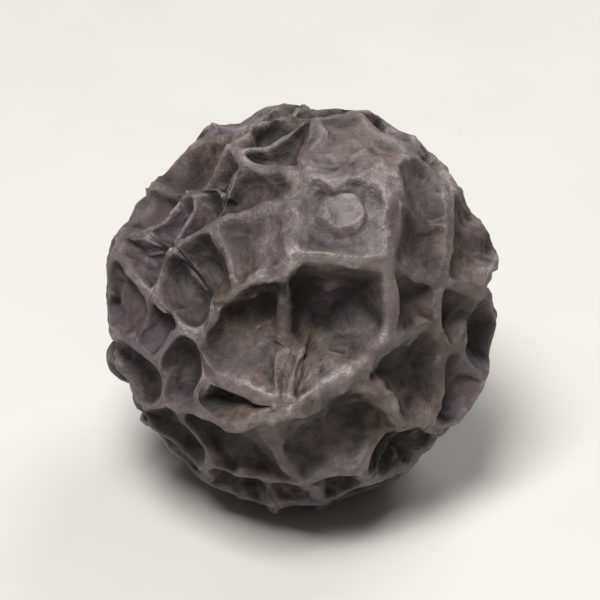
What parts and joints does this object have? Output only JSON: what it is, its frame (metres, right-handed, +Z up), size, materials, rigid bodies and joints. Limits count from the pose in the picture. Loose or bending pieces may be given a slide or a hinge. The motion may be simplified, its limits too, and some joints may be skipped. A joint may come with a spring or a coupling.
{
  "type": "black peppercorn",
  "caption": "Dried whole black peppercorn: a small round berry in shrunken dark skin with a raised net of wrinkles, lying on a small flat spot.",
  "frame": {"origin": "middle of the berry's outline seen from above, on the surface that it lies on", "axes": "+Z up from the surface; -Y towards the front, where the nub at the tip is high; +Y back, where the scar of the stalk is low"},
  "size_m": [0.0048, 0.005, 0.0049],
  "materials": {
    "dried_skin": "dull dried fruit skin, brown black in the valleys and worn grey on the crests of the net"
  },
  "bodies": {
    "root": {"peppercorn": "dried_skin"}
  },
  "joints": []
}
